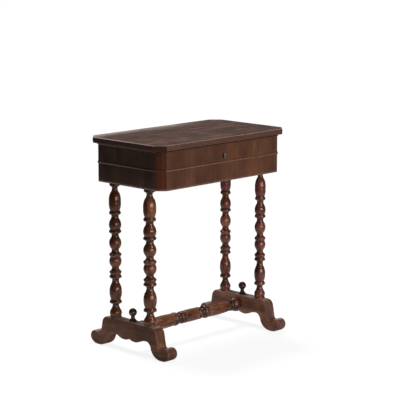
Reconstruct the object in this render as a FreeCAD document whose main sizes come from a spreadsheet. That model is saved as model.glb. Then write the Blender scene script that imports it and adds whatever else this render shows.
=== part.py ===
import FreeCAD, Part
import math
import os
import Sketcher

# A work table: a shallow box with canted corners and a hinged lid, carried by two trestles.
# All sizes are millimetres. X runs along the table, the lock faces -Y, Z is up, the floor is zero.

doc = FreeCAD.newDocument("WorkTable")
sheet = doc.addObject("Spreadsheet::Sheet", "Sizes")

sizes = {
    # Trestles, legs, finials and stretcher
    "rail_height": 108,
    "trestle_thickness": 44,
    "foot_half_length": 197,
    "leg_end_inset": 26,
    "leg_pitch_y": 172,
    "leg_length": 474,
    "leg_front_left_diameter": 45,
    "leg_front_right_diameter": 39.5,
    "leg_back_left_diameter": 42.5,
    "leg_back_right_diameter": 39.5,
    "leg_tenon_diameter": 16,
    "leg_tenon_length": 30,
    "finial_height": 46,
    "finial_ball_diameter": 28.4,
    "finial_stem_diameter": 14,
    "finial_base_diameter": 28,
    "finial_peg_diameter": 8,
    "finial_peg_length": 46,
    "stretcher_diameter": 45,
    "stretcher_height": 78,
    "stretcher_tenon_diameter": 20,
    "stretcher_tenon_length": 28,
    # Case
    "case_length": 604,
    "case_depth": 333,
    "case_height": 134,
    "corner_cant": 27,
    "wall_thickness": 11,
    "floor_thickness": 12,
    "bearer_width": 44,
    "bearer_thickness": 16,
    "bead_width": 4.6,
    "bead_proud": 3,
    "waist_height": 65,
    # Lid
    "lid_end_overhang": 18,
    "lid_side_overhang": 14.5,
    "lid_thickness": 20.5,
    "lid_cant": 34,
    "lid_gap": 0.5,
    "lid_top_round": 2,
    "lid_under_round": 6,
    # Hinges and screws
    "hinge_length": 50,
    "hinge_end_inset": 110,
    "hinge_setback": 3.4,
    "leaf_thickness": 1.2,
    "leaf_reach": 10,
    "knuckle_diameter": 5.6,
    "pin_diameter": 2.6,
    "running_gap": 0.05,
    "moving_gap": 0.3,
    "screw_diameter": 2.2,
    "screw_head_diameter": 4.6,
    "screw_length": 11,
    # Lock
    "lock_length": 80,
    "lock_depth": 8,
    "lock_height": 54,
    "lock_sheet": 1.2,
    "selvedge_length": 98,
    "strike_length": 76,
    "lug_pitch": 32,
    "lug_width": 4,
    "lug_foot_length": 6,
    "lug_foot_height": 3,
    "lug_drop": 12,
    "bolt_thickness": 2.4,
    "bolt_throw": 6,
    "bolt_bar_height": 8,
    "bolt_bar_drop": 24,
    "bolt_gap": 0.6,
    "stump_diameter": 3,
    "keyhole_drop": 42,
    "keyhole_diameter": 6,
    "key_slot_width": 2.8,
    "key_slot_length": 10,
    "escutcheon_width": 15,
    "escutcheon_height": 22,
    "escutcheon_thickness": 1.6,
    "escutcheon_proud": 0.5,
    # Sliding till
    "till_length": 255,
    "till_height": 46,
    "till_drop": 6,
    "till_wall": 6,
    "till_floor": 5,
    "till_divider": 5,
    "till_divider_drop": 8,
    "till_gap": 0.8,
    "slide_gap": 0.1,
    "runner_size": 8,
    # How far a cutting tool runs past the face that it opens
    "overrun": 2,
}
for row, (alias, value) in enumerate(sizes.items(), start=1):
    sheet.set(f"A{row}", alias)
    sheet.set(f"B{row}", str(value))
    sheet.setAlias(f"B{row}", alias)
doc.recompute()

# Levels and faces that several pieces share, as rules on the sheet
CASE_BASE = "(Sizes.rail_height + Sizes.leg_length)"
CASE_TOP = f"({CASE_BASE} + Sizes.case_height)"
LID_BASE = f"({CASE_TOP} + Sizes.lid_gap)"
HALF_LENGTH = "(Sizes.case_length / 2)"
HALF_DEPTH = "(Sizes.case_depth / 2)"
LEG_X = f"({HALF_LENGTH} - Sizes.leg_end_inset)"
INNER_LENGTH = f"({HALF_LENGTH} - Sizes.wall_thickness)"
INNER_DEPTH = f"({HALF_DEPTH} - Sizes.wall_thickness)"
INNER_CANT = "(Sizes.corner_cant - Sizes.wall_thickness)"
BOARD_LENGTH = "(Sizes.case_length - 2 * Sizes.corner_cant)"
BOARD_DEPTH = "(Sizes.case_depth - 2 * Sizes.corner_cant)"

nodes = {}


def bind(item, rules):
    """Ties properties of an object to rules on the sheet."""
    for name, rule in rules.items():
        item.setExpression(name, rule)


def place(item, x="0", y="0", z="0"):
    """Ties an object's position to rules on the sheet."""
    bind(item, {"Placement.Base.x": x, "Placement.Base.y": y, "Placement.Base.z": z})


def box(name, start, extent):
    """A box from its low corner and its three sizes."""
    item = doc.addObject("Part::Box", name)
    bind(item, {"Length": extent[0], "Width": extent[1], "Height": extent[2]})
    place(item, *start)
    return item


def rod(name, start, diameter, length, axis="Z"):
    """A cylinder that begins at a point and runs along one axis."""
    item = doc.addObject("Part::Cylinder", name)
    bind(item, {"Radius": f"({diameter}) / 2", "Height": length})
    turns = {"X": FreeCAD.Vector(0, 1, 0), "Y": FreeCAD.Vector(-1, 0, 0), "Z": None}
    if turns[axis]:
        item.Placement.Rotation = FreeCAD.Rotation(turns[axis], 90)
    place(item, *start)
    return item


def joined(name, pieces):
    """Several shapes made one."""
    item = doc.addObject("Part::MultiFuse", name)
    item.Shapes = pieces
    return item


def cut(name, base, tools):
    """A shape less one or more tools."""
    item = doc.addObject("Part::Cut", name)
    item.Base = base
    item.Tool = tools[0] if len(tools) == 1 else joined(name + "_tools", tools)
    return item


def body(name, turn=0):
    """An empty body, turned about Z by a number of degrees."""
    item = doc.addObject("PartDesign::Body", name)
    item.Placement.Rotation = FreeCAD.Rotation(FreeCAD.Vector(0, 0, 1), turn)
    return item


def outline(owner, name, role, path):
    """A closed sketch whose points are rules: (x, y) ends a line, (x, y, mid x, mid y) ends an arc."""
    plane = [item for item in owner.Origin.OriginFeatures if item.Role == role][0]
    sketch = owner.newObject("Sketcher::SketchObject", name)
    sketch.AttachmentSupport = [(plane, "")]
    sketch.MapMode = "FlatFace"

    def spot(x, y):
        values = [sketch.evalExpression(rule) for rule in (x, y)]
        return FreeCAD.Vector(float(values[0]), float(values[1]), 0)

    limits = []
    rules = []

    def fix(edge, end, x, y):
        for kind, axis, rule in (("DistanceX", -2, x), ("DistanceY", -1, y)):
            if rule == "0":
                limits.append(Sketcher.Constraint("PointOnObject", edge, end, axis))
            else:
                value = float(sketch.evalExpression(rule))
                rules.append((len(limits), rule))
                limits.append(Sketcher.Constraint(kind, -1, 1, edge, end, value))

    ends = []
    for number, step in enumerate(path):
        start = spot(*path[number - 1][:2])
        stop = spot(*step[:2])
        if len(step) == 2:
            curve = Part.LineSegment(start, stop)
        else:
            curve = Part.Arc(start, spot(*step[2:]), stop)
        edge = sketch.addGeometry(curve, False)
        reach = [sketch.getPoint(edge, end).distanceToPoint(start) for end in (1, 2)]
        forward = reach[0] < reach[1]
        ends.append((edge, 1, 2) if forward else (edge, 2, 1))
    for number, step in enumerate(path):
        edge, first, last = ends[number]
        following = ends[(number + 1) % len(path)]
        limits.append(Sketcher.Constraint("Coincident", edge, last, following[0], following[1]))
        fix(edge, last, *step[:2])
        if len(step) == 4:
            mark = sketch.addGeometry(Part.Point(spot(*step[2:])), True)
            fix(mark, 1, *step[2:])
            limits.append(Sketcher.Constraint("PointOnObject", mark, 1, edge))
    sketch.addConstraint(limits)
    for index, rule in rules:
        sketch.setExpression(f"Constraints[{index}]", rule)
    return sketch


def pad(owner, sketch, length, centred=False):
    """Raises a sketch from its plane, or to both sides of it."""
    item = owner.newObject("PartDesign::Pad", sketch.Name + "_pad")
    item.Profile = sketch
    item.setExpression("Length", length)
    if centred:
        item.SideType = "Symmetric"
    owner.Tip = item
    return item


def turned(owner, sketch, axis):
    """Turns a sketch right round one of its own axes."""
    item = owner.newObject("PartDesign::Revolution", sketch.Name + "_turned")
    item.Profile = sketch
    item.ReferenceAxis = (sketch, [axis])
    item.Angle = 360
    owner.Tip = item
    return item


def rounded(owner, feature, chosen, radius):
    """Rounds the edges of a body's last feature that a test picks."""
    feature.recompute(True)
    names = [f"Edge{number}" for number, edge in enumerate(feature.Shape.Edges, start=1) if chosen(edge)]
    item = owner.newObject("PartDesign::Fillet", feature.Name + "_round")
    item.Base = (feature, names)
    item.setExpression("Radius", radius)
    owner.Tip = item
    return item


def lying(axis, level):
    """A test for edges that lie in the plane at one level of an axis, to within a small share of their length."""
    fine_share = 1e-5

    def test(edge):
        ends = [getattr(edge.BoundBox, axis + end) for end in ("Min", "Max")]
        return all(abs(value - level) < fine_share * edge.Length for value in ends)

    return test


def octagon(length, depth, cant):
    """Corner points of a rectangle with its corners cut off."""
    return [
        (f"{length} - {cant}", f"-{depth}"),
        (length, f"-{depth} + {cant}"),
        (length, f"{depth} - {cant}"),
        (f"{length} - {cant}", depth),
        (f"-{length} + {cant}", depth),
        (f"-{length}", f"{depth} - {cant}"),
        (f"-{length}", f"-{depth} + {cant}"),
        (f"-{length} + {cant}", f"-{depth}"),
    ]


def screws(name, spots, up):
    """A group of countersunk screws with their heads on a face; up sends the points upwards."""
    group = []
    for number, (x, y, z) in enumerate(spots):
        head = doc.addObject("Part::Cone", f"{name}_head_{number}")
        bind(head, {
            "Radius1": "Sizes.screw_head_diameter / 2",
            "Radius2": "Sizes.screw_diameter / 2",
            "Height": "Sizes.leaf_thickness",
        })
        shank = doc.addObject("Part::Cylinder", f"{name}_shank_{number}")
        bind(shank, {"Radius": "Sizes.screw_diameter / 2", "Height": "Sizes.screw_length"})
        screw = joined(f"{name}_{number}", [head, shank])
        if not up:
            screw.Placement.Rotation = FreeCAD.Rotation(FreeCAD.Vector(1, 0, 0), 180)
        place(screw, x, y, z)
        group.append(screw)
    item = doc.addObject("Part::Compound", name)
    item.Links = group
    return item


# Trestles. Half of the sawn outline runs from the middle of the apron, round the foot, to the rail's top.
# Each point is a share of the foot's half length and a share of the rail's height.
half_trestle_shares = [
    (0.253, 0.435, 0.122, 0.384),
    (0.419, 0.509, 0.338, 0.493),
    (0.535, 0.352, 0.4975, 0.458),
    (0.676, 0.037, 0.586, 0.157),
    (0.746, 0),
    (0.822, 0),
    (0.954, 0.083, 0.898, 0.024),
    (0.907, 0.435, 1, 0.255),
    (0.777, 0.347, 0.8375, 0.410),
    (0.724, 0.481, 0.739, 0.392),
    (0.690, 0.796),
    (0.563, 1, 0.652, 0.935),
]
apron_middle_share = 0.444


def trestle(name, side):
    """One sawn trestle with its sockets; side is -1 for the left one and 1 for the right one."""

    def point(along, height, sign):
        across = f"Sizes.foot_half_length * {sign * along}" if along else "0"
        return across, f"Sizes.rail_height * {height}" if height else "0"

    path = []
    for step in half_trestle_shares:
        spots = point(*step[:2], 1)
        path.append(spots + point(*step[2:], 1) if len(step) == 4 else spots)
    for number in range(len(half_trestle_shares) - 1, -1, -1):
        if number == len(half_trestle_shares) - 1:
            path.append(point(*half_trestle_shares[number][:2], -1))
        else:
            later = half_trestle_shares[number + 1]
            spots = point(*half_trestle_shares[number][:2], -1)
            path.append(spots + point(*later[2:], -1) if len(later) == 4 else spots)
    path.append(point(0, apron_middle_share, 1) + point(*half_trestle_shares[0][2:], -1))

    plank = body(name + "_plank")
    sawn = outline(plank, name + "_outline", "YZ_Plane", path)
    pad(plank, sawn, "Sizes.trestle_thickness", centred=True)
    place(plank, f"{LEG_X} * {side}")
    sockets = []
    for row in (-1, 1):
        sockets.append(rod(
            f"{name}_leg_socket_{row + 1}",
            (f"{LEG_X} * {side}", f"Sizes.leg_pitch_y / 2 * {row}",
             "Sizes.rail_height - Sizes.leg_tenon_length"),
            "Sizes.leg_tenon_diameter", "Sizes.leg_tenon_length + Sizes.overrun",
        ))
    sockets.append(rod(
        name + "_peg_socket",
        (f"{LEG_X} * {side}", "0", "Sizes.rail_height - Sizes.finial_peg_length"),
        "Sizes.finial_peg_diameter", "Sizes.finial_peg_length + Sizes.overrun",
    ))
    inner_face = f"{LEG_X} * {side} - Sizes.trestle_thickness / 2 * {side}"
    low_end = "- Sizes.overrun" if side > 0 else "- Sizes.stretcher_tenon_length"
    sockets.append(rod(
        name + "_stretcher_socket",
        (f"{inner_face} {low_end}", "0", "Sizes.stretcher_height"),
        "Sizes.stretcher_tenon_diameter", "Sizes.stretcher_tenon_length + Sizes.overrun", axis="X",
    ))
    nodes[name] = cut(name, plank, sockets)


trestle("trestle_left", -1)
trestle("trestle_right", 1)

# Legs. The turned outline from the rail up to the case, in shares of the length and of the half diameter.
leg_outline_shares = [
    (0, 0.96),
    (0.0095, 0.96),
    (0.0135, 0.90),
    (0.0545, 0.86, 0.0336, 1),
    (0.0880, 0.535, 0.0705, 0.65),
    (0.0985, 0.56),
    (0.1080, 0.98),
    (0.1220, 0.97, 0.1145, 1.02),
    (0.1355, 0.80, 0.1290, 0.87),
    (0.1910, 1.02, 0.1600, 0.965),
    (0.2415, 0.81, 0.2205, 0.96),
    (0.2750, 0.565, 0.2550, 0.655),
    (0.2880, 0.60),
    (0.2975, 0.97),
    (0.3100, 0.96, 0.3035, 1.02),
    (0.3320, 0.95, 0.3195, 0.86),
    (0.3455, 0.93, 0.3390, 1),
    (0.3570, 0.66),
    (0.3800, 0.66, 0.3680, 0.59),
    (0.4495, 0.82, 0.4180, 1),
    (0.4610, 0.95),
    (0.4770, 0.94, 0.4695, 1.01),
    (0.4860, 0.68),
    (0.5135, 0.68, 0.4995, 0.59),
    (0.5955, 0.68, 0.5545, 1),
    (0.6225, 0.62, 0.6105, 0.59),
    (0.6320, 0.95),
    (0.6470, 0.95, 0.6395, 1.01),
    (0.6560, 0.82),
    (0.7300, 0.73, 0.6900, 1),
    (0.7600, 0.63, 0.7475, 0.595),
    (0.7695, 0.93),
    (0.7855, 0.90, 0.7780, 0.97),
    (0.7945, 0.78),
    (0.8570, 0.98, 0.8190, 0.935),
    (0.9220, 0.77, 0.8970, 0.93),
    (0.9555, 0.46, 0.9365, 0.57),
    (0.9765, 0.80, 0.9680, 0.555),
    (0.9800, 0.86),
    (1, 0.86),
]


def leg(name, column, row):
    """One turned leg, tenoned into the trestle below and through the case floor and bearer above."""
    radius = f"Sizes.{name}_diameter / 2"
    tenon = "Sizes.leg_tenon_diameter / 2"
    top_tenon = "Sizes.leg_length + Sizes.floor_thickness + Sizes.bearer_thickness"

    def point(height, width):
        return f"{radius} * {width}", f"Sizes.leg_length * {height}" if height else "0"

    path = [("0", "-Sizes.leg_tenon_length"), (tenon, "-Sizes.leg_tenon_length"), (tenon, "0")]
    for step in leg_outline_shares:
        path.append(point(*step[:2]) + (point(*step[2:]) if len(step) == 4 else ()))
    path += [(tenon, "Sizes.leg_length"), (tenon, top_tenon), ("0", top_tenon)]
    item = body(name)
    turned(item, outline(item, name + "_outline", "XZ_Plane", path), "V_Axis")
    place(item, f"{LEG_X} * {column}", f"Sizes.leg_pitch_y / 2 * {row}", "Sizes.rail_height")
    nodes[name] = item


leg("leg_front_left", -1, -1)
leg("leg_front_right", 1, -1)
leg("leg_back_left", -1, 1)
leg("leg_back_right", 1, 1)

# Stretcher. Half of the turned outline, in shares of the half span and of the half diameter.
half_stretcher_shares = [
    (0.128, 0.98),
    (0.136, 0.90),
    (0.144, 0.88),
    (0.152, 0.92),
    (0.198, 0.88, 0.176, 0.985),
    (0.208, 0.72),
    (0.256, 0.72, 0.232, 0.60),
    (0.264, 0.94),
    (0.332, 0.96, 0.298, 1.07),
    (0.338, 0.90),
    (0.346, 0.98),
    (0.768, 0.90, 0.556, 1.05),
    (0.778, 0.78),
    (0.789, 0.68),
    (0.800, 0.80),
    (0.842, 0.82, 0.822, 0.97),
    (0.851, 0.74),
    (0.972, 0.80, 0.912, 1.08),
    (0.977, 0.72),
    (0.984, 0.92),
    (1, 0.92),
]
half_span = f"({LEG_X} - Sizes.trestle_thickness / 2)"
tenon_end = f"({half_span} + Sizes.stretcher_tenon_length)"
tenon_radius = "Sizes.stretcher_tenon_diameter / 2"


def stretcher_point(along, width, sign):
    return f"{half_span} * {sign * along}", f"Sizes.stretcher_diameter / 2 * {width}"


stretcher_path = [(f"-{tenon_end}", "0"), (f"-{tenon_end}", tenon_radius), (f"-{half_span}", tenon_radius)]
for number in range(len(half_stretcher_shares) - 1, -1, -1):
    spots = stretcher_point(*half_stretcher_shares[number][:2], -1)
    later = half_stretcher_shares[number + 1] if number + 1 < len(half_stretcher_shares) else ()
    stretcher_path.append(spots + stretcher_point(*later[2:], -1) if len(later) == 4 else spots)
stretcher_path.append(stretcher_point(*half_stretcher_shares[0], 1) + ("0", "Sizes.stretcher_diameter / 2"))
for step in half_stretcher_shares[1:]:
    spots = stretcher_point(*step[:2], 1)
    stretcher_path.append(spots + stretcher_point(*step[2:], 1) if len(step) == 4 else spots)
stretcher_path += [(half_span, tenon_radius), (tenon_end, tenon_radius), (tenon_end, "0")]
stretcher_blank = body("stretcher_blank")
turned(stretcher_blank, outline(stretcher_blank, "stretcher_outline", "XZ_Plane", stretcher_path), "H_Axis")
place(stretcher_blank, z="Sizes.stretcher_height")
peg_holes = [
    rod(
        f"peg_hole_{side + 1}",
        (f"{LEG_X} * {side}", "0", "Sizes.rail_height - Sizes.finial_peg_length"),
        "Sizes.finial_peg_diameter", "Sizes.finial_peg_length",
    )
    for side in (-1, 1)
]
nodes["stretcher"] = cut("stretcher", stretcher_blank, peg_holes)


def finial(name, side):
    """One ball finial whose shank pins the stretcher's tenon; side is -1 or 1."""
    ball = "Sizes.finial_ball_diameter / 2"
    stem = "Sizes.finial_stem_diameter / 2"
    base = "Sizes.finial_base_diameter / 2"
    peg = "Sizes.finial_peg_diameter / 2"
    top = "Sizes.finial_height"
    middle = f"({top} - {ball})"
    seat = f"({middle} - sqrt(({ball})^2 - ({stem})^2))"
    flange_shares = {"edge": 0.06, "cove": 0.14, "foot": 0.24}
    path = [
        ("0", "-Sizes.finial_peg_length"),
        (peg, "-Sizes.finial_peg_length"),
        (peg, "0"),
        (base, "0"),
        (base, f"{top} * {flange_shares['edge']}"),
        (stem, f"{top} * {flange_shares['foot']}",
         f"({base} + {stem}) / 2", f"{top} * {flange_shares['cove']}"),
        (stem, seat),
        ("0", top, ball, middle),
    ]
    item = body(name)
    turned(item, outline(item, name + "_outline", "XZ_Plane", path), "V_Axis")
    place(item, f"{LEG_X} * {side}", "0", "Sizes.rail_height")
    nodes[name] = item


finial("finial_left", -1)
finial("finial_right", 1)

# Hinges. Two butt hinges lie between the back board's top edge and the lid, knuckles outside the back.
hinge_axis_y = f"({HALF_DEPTH} + Sizes.hinge_setback)"
hinge_axis_z = f"({CASE_TOP} + Sizes.lid_gap / 2)"
leaf_front = f"({HALF_DEPTH} - Sizes.leaf_reach)"
leaf_width = "(Sizes.leaf_reach + Sizes.hinge_setback)"
knuckle_share = 0.2
hinge_starts = {
    "left": f"(Sizes.hinge_end_inset - {HALF_LENGTH})",
    "right": f"({HALF_LENGTH} - Sizes.hinge_end_inset - Sizes.hinge_length)",
}
screw_shares = (0.16, 0.5, 0.84)


def screw_spots(level):
    """Places of the screw heads on the leaves, at one height."""
    across = f"({HALF_DEPTH} - Sizes.leaf_reach / 2)"
    return [
        (f"{start} + Sizes.hinge_length * {share}", across, level)
        for start in hinge_starts.values() for share in screw_shares
    ]


nodes["hinge_case_screws"] = screws("hinge_case_screws", screw_spots(CASE_TOP), up=False)
nodes["hinge_lid_screws"] = screws("hinge_lid_screws", screw_spots(LID_BASE), up=True)


def leaf(name, start, level, own, other, bore, heads):
    """One hinge leaf: a plate with its own knuckles, cleared round the other leaf's knuckles."""
    pitch = f"Sizes.hinge_length * {knuckle_share}"
    plate = box(
        name + "_plate", (start, leaf_front, level),
        ("Sizes.hinge_length", leaf_width, "Sizes.leaf_thickness"),
    )
    knuckles = [
        rod(
            f"{name}_knuckle_{number}",
            (f"{start} + {pitch} * {number} + Sizes.moving_gap / 2", hinge_axis_y, hinge_axis_z),
            "Sizes.knuckle_diameter", f"{pitch} - Sizes.moving_gap", axis="X",
        )
        for number in own
    ]
    gaps = [
        rod(
            f"{name}_gap_{number}",
            (f"{start} + {pitch} * {number} - Sizes.moving_gap / 2", hinge_axis_y, hinge_axis_z),
            "Sizes.knuckle_diameter + 2 * Sizes.moving_gap", f"{pitch} + Sizes.moving_gap", axis="X",
        )
        for number in other
    ]
    hole = rod(
        name + "_bore", (f"{start} - Sizes.overrun", hinge_axis_y, hinge_axis_z),
        bore, "Sizes.hinge_length + 2 * Sizes.overrun", axis="X",
    )
    plate_with_gaps = cut(name + "_notched", plate, gaps)
    nodes[name] = cut(name, joined(name + "_blank", [plate_with_gaps] + knuckles), [hole, nodes[heads]])


for hand, start in hinge_starts.items():
    leaf(
        f"hinge_{hand}_case_leaf", start, f"{CASE_TOP} - Sizes.leaf_thickness",
        (0, 2, 4), (1, 3), "Sizes.pin_diameter", "hinge_case_screws",
    )
    leaf(
        f"hinge_{hand}_lid_leaf", start, LID_BASE,
        (1, 3), (0, 2, 4), "Sizes.pin_diameter + 2 * Sizes.running_gap", "hinge_lid_screws",
    )
    nodes[f"hinge_{hand}_pin"] = rod(
        f"hinge_{hand}_pin", (start, hinge_axis_y, hinge_axis_z),
        "Sizes.pin_diameter", "Sizes.hinge_length", axis="X",
    )

# Lock. A sheet box let into the front board from inside, with a bolt that slides under two lugs on the lid.
lock_back = f"(-{INNER_DEPTH})"
lock_front = f"({lock_back} - Sizes.lock_depth)"
lock_middle = f"({lock_back} - Sizes.lock_depth / 2)"
keyhole_level = f"({CASE_TOP} - Sizes.keyhole_drop)"
selvedge_base = f"({CASE_TOP} - Sizes.lock_sheet)"
key_start = f"-{HALF_DEPTH} - Sizes.overrun"
key_reach = "Sizes.wall_thickness - Sizes.lock_sheet * 2 + Sizes.overrun"
key_tools = [
    rod("keyhole", ("0", key_start, keyhole_level), "Sizes.keyhole_diameter", key_reach, axis="Y"),
    box(
        "key_slot",
        ("-Sizes.key_slot_width / 2", key_start, f"{keyhole_level} - Sizes.key_slot_length"),
        ("Sizes.key_slot_width", key_reach, "Sizes.key_slot_length"),
    ),
]
lock_block = box(
    "lock_block", ("-Sizes.lock_length / 2", lock_front, f"{CASE_TOP} - Sizes.lock_height"),
    ("Sizes.lock_length", "Sizes.lock_depth", "Sizes.lock_height"),
)
selvedge = box(
    "selvedge", ("-Sizes.selvedge_length / 2", lock_front, selvedge_base),
    ("Sizes.selvedge_length", "Sizes.lock_depth", "Sizes.lock_sheet"),
)
lock_room = box(
    "lock_room",
    ("-Sizes.lock_length / 2 + Sizes.lock_sheet", f"{lock_front} + Sizes.lock_sheet",
     f"{CASE_TOP} - Sizes.lock_height + Sizes.lock_sheet"),
    ("Sizes.lock_length - 2 * Sizes.lock_sheet", "Sizes.lock_depth",
     "Sizes.lock_height - 2 * Sizes.lock_sheet"),
)
cover_room = box(
    "cover_room",
    ("-Sizes.lock_length / 2", f"{lock_back} - Sizes.lock_sheet", f"{CASE_TOP} - Sizes.lock_height"),
    ("Sizes.lock_length", "Sizes.lock_sheet + Sizes.overrun", "Sizes.lock_height - Sizes.lock_sheet"),
)
lug_spots = ("(-Sizes.lug_pitch / 2)", "(Sizes.lug_pitch / 2)")
lug_slots = [
    box(
        f"lug_slot_{number}",
        (f"{spot} - Sizes.lug_width / 2 - Sizes.lug_foot_length - Sizes.bolt_gap",
         f"{lock_middle} - Sizes.bolt_thickness / 2 - Sizes.bolt_gap",
         f"{selvedge_base} - Sizes.overrun / 2"),
        ("Sizes.lug_width + Sizes.lug_foot_length + 2 * Sizes.bolt_gap",
         "Sizes.bolt_thickness + 2 * Sizes.bolt_gap", "Sizes.lock_sheet + Sizes.overrun"),
    )
    for number, spot in enumerate(lug_spots)
]
lock_screw_spots = [
    (f"(Sizes.selvedge_length + Sizes.lock_length) / 4 * {side}", lock_middle, CASE_TOP) for side in (-1, 1)
]
nodes["lock_screws"] = screws("lock_screws", lock_screw_spots, up=False)
stump = rod(
    "lock_stump", ("0", lock_front, f"{CASE_TOP} - Sizes.bolt_bar_drop - Sizes.bolt_bar_height / 2"),
    "Sizes.stump_diameter", "Sizes.lock_depth - Sizes.lock_sheet", axis="Y",
)
lock_shell = cut("lock_shell", joined("lock_solid", [lock_block, selvedge]), [lock_room, cover_room])
nodes["lock_case"] = cut(
    "lock_case", joined("lock_with_stump", [lock_shell, stump]),
    lug_slots + key_tools + [nodes["lock_screws"]],
)
nodes["lock_cover"] = box(
    "lock_cover",
    ("-Sizes.lock_length / 2", f"{lock_back} - Sizes.lock_sheet", f"{CASE_TOP} - Sizes.lock_height"),
    ("Sizes.lock_length", "Sizes.lock_sheet", "Sizes.lock_height - Sizes.lock_sheet"),
)

# The bolt at rest is drawn back, so that its two tongues stand clear of the lugs. One profile, measured from
# the case's top edge: a bar with a post and a tongue for each lug, and a notch below for the key.
talon_share = 0.2
bar_low = "(-Sizes.bolt_bar_drop - Sizes.bolt_bar_height)"
bar_high = "(-Sizes.bolt_bar_drop)"
bar_middle = f"(({bar_low} + {bar_high}) / 2)"
talon_high = f"({bar_low} + Sizes.bolt_bar_height * {talon_share})"
tongue_low = "(-Sizes.lug_drop + Sizes.lug_foot_height + Sizes.bolt_gap)"
tongue_high = f"({tongue_low} + Sizes.lug_foot_height)"
tips = [f"({spot} - Sizes.lug_width / 2 - Sizes.lug_foot_length - Sizes.bolt_gap)" for spot in lug_spots]
posts = [(f"({tip} - Sizes.bolt_throw - Sizes.lug_width)", f"({tip} - Sizes.bolt_throw)") for tip in tips]
bolt_path = [
    (posts[0][0], bar_low),
    ("-Sizes.lug_width", bar_low),
    ("-Sizes.lug_width", talon_high),
    ("0", talon_high),
    ("0", bar_low),
    (lug_spots[1], bar_low),
    (lug_spots[1], bar_high),
]
for number in (1, 0):
    left, right = posts[number]
    bolt_path += [
        (right, bar_high),
        (right, tongue_low),
        (tips[number], tongue_low),
        (tips[number], tongue_high),
        (left, tongue_high),
    ]
    if number == 1:
        bolt_path.append((left, bar_high))
bolt = body("lock_bolt")
pad(bolt, outline(bolt, "bolt_outline", "XZ_Plane", bolt_path), "Sizes.bolt_thickness", centred=True)
slot_radius = "(Sizes.stump_diameter / 2 + Sizes.moving_gap)"
slot_sketch = outline(bolt, "bolt_slot_outline", "XZ_Plane", [
    ("0", f"{bar_middle} - {slot_radius}"),
    ("0", f"{bar_middle} + {slot_radius}", slot_radius, bar_middle),
    ("-Sizes.bolt_throw", f"{bar_middle} + {slot_radius}"),
    ("-Sizes.bolt_throw", f"{bar_middle} - {slot_radius}", f"-Sizes.bolt_throw - {slot_radius}", bar_middle),
])
bolt_slot = bolt.newObject("PartDesign::Pocket", "bolt_slot")
bolt_slot.Profile = slot_sketch
bolt_slot.SideType = "Symmetric"
bolt_slot.setExpression("Length", "Sizes.bolt_thickness + Sizes.overrun")
bolt.Tip = bolt_slot
place(bolt, "0", lock_middle, CASE_TOP)
nodes["lock_bolt"] = bolt

# The strike lies in the lid's underside and carries the two hooked lugs that drop into the lock.
strike_block = box(
    "strike_block", ("-Sizes.strike_length / 2", lock_front, LID_BASE),
    ("Sizes.strike_length", "Sizes.lock_depth", "Sizes.leaf_thickness"),
)
lugs = []
for number, spot in enumerate(lug_spots):
    lug = body(f"lug_{number}")
    foot = f"{spot} - Sizes.lug_width / 2 - Sizes.lug_foot_length"
    lug_path = [
        (foot, "-Sizes.lug_drop"),
        (f"{spot} + Sizes.lug_width / 2", "-Sizes.lug_drop"),
        (f"{spot} + Sizes.lug_width / 2", "Sizes.lid_gap + Sizes.leaf_thickness"),
        (f"{spot} - Sizes.lug_width / 2", "Sizes.lid_gap + Sizes.leaf_thickness"),
        (f"{spot} - Sizes.lug_width / 2", "-Sizes.lug_drop + Sizes.lug_foot_height"),
        (foot, "-Sizes.lug_drop + Sizes.lug_foot_height"),
    ]
    hook = outline(lug, f"lug_{number}_outline", "XZ_Plane", lug_path)
    pad(lug, hook, "Sizes.bolt_thickness", centred=True)
    place(lug, "0", lock_middle, CASE_TOP)
    lugs.append(lug)
strike_screw_share = 0.43
nodes["strike_screws"] = screws(
    "strike_screws",
    [(f"Sizes.strike_length * {strike_screw_share * side}", lock_middle, LID_BASE) for side in (-1, 1)],
    up=True,
)
nodes["strike_plate"] = cut(
    "strike_plate", joined("strike_blank", [strike_block] + lugs), [nodes["strike_screws"]],
)

# Escutcheon. A plate with round ends round the keyhole, let into the front board and a little proud of it.
escutcheon_blank = body("escutcheon_blank")
end_radius = "(Sizes.escutcheon_width / 2)"
straight = "(Sizes.escutcheon_height / 2 - Sizes.escutcheon_width / 2)"
escutcheon_sketch = outline(escutcheon_blank, "escutcheon_outline", "XZ_Plane", [
    (end_radius, straight),
    (f"-{end_radius}", straight, "0", "Sizes.escutcheon_height / 2"),
    (f"-{end_radius}", f"-{straight}"),
    (end_radius, f"-{straight}", "0", "-Sizes.escutcheon_height / 2"),
])
pad(escutcheon_blank, escutcheon_sketch, "Sizes.escutcheon_thickness")
key_drop_share = 0.15
place(
    escutcheon_blank, "0", f"-{HALF_DEPTH} + Sizes.escutcheon_thickness - Sizes.escutcheon_proud",
    f"{keyhole_level} - Sizes.escutcheon_height * {key_drop_share}",
)
nodes["escutcheon"] = cut("escutcheon", escutcheon_blank, key_tools)

# Case. Four boards between canted corner posts, a floor inside them and a bearer over each pair of legs.
front_board = box(
    "front_board", (f"-{BOARD_LENGTH} / 2", f"-{HALF_DEPTH}", CASE_BASE),
    (BOARD_LENGTH, "Sizes.wall_thickness", "Sizes.case_height"),
)
nodes["case_front"] = cut(
    "case_front", front_board,
    [lock_block, selvedge, escutcheon_blank, nodes["lock_screws"]] + key_tools,
)
back_board = box(
    "back_board", (f"-{BOARD_LENGTH} / 2", INNER_DEPTH, CASE_BASE),
    (BOARD_LENGTH, "Sizes.wall_thickness", "Sizes.case_height"),
)
leaf_seats = [
    box(
        f"leaf_seat_{hand}", (start, leaf_front, f"{CASE_TOP} - Sizes.leaf_thickness"),
        ("Sizes.hinge_length", leaf_width, "Sizes.leaf_thickness + Sizes.overrun"),
    )
    for hand, start in hinge_starts.items()
]
nodes["case_back"] = cut("case_back", back_board, leaf_seats + [nodes["hinge_case_screws"]])
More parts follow.
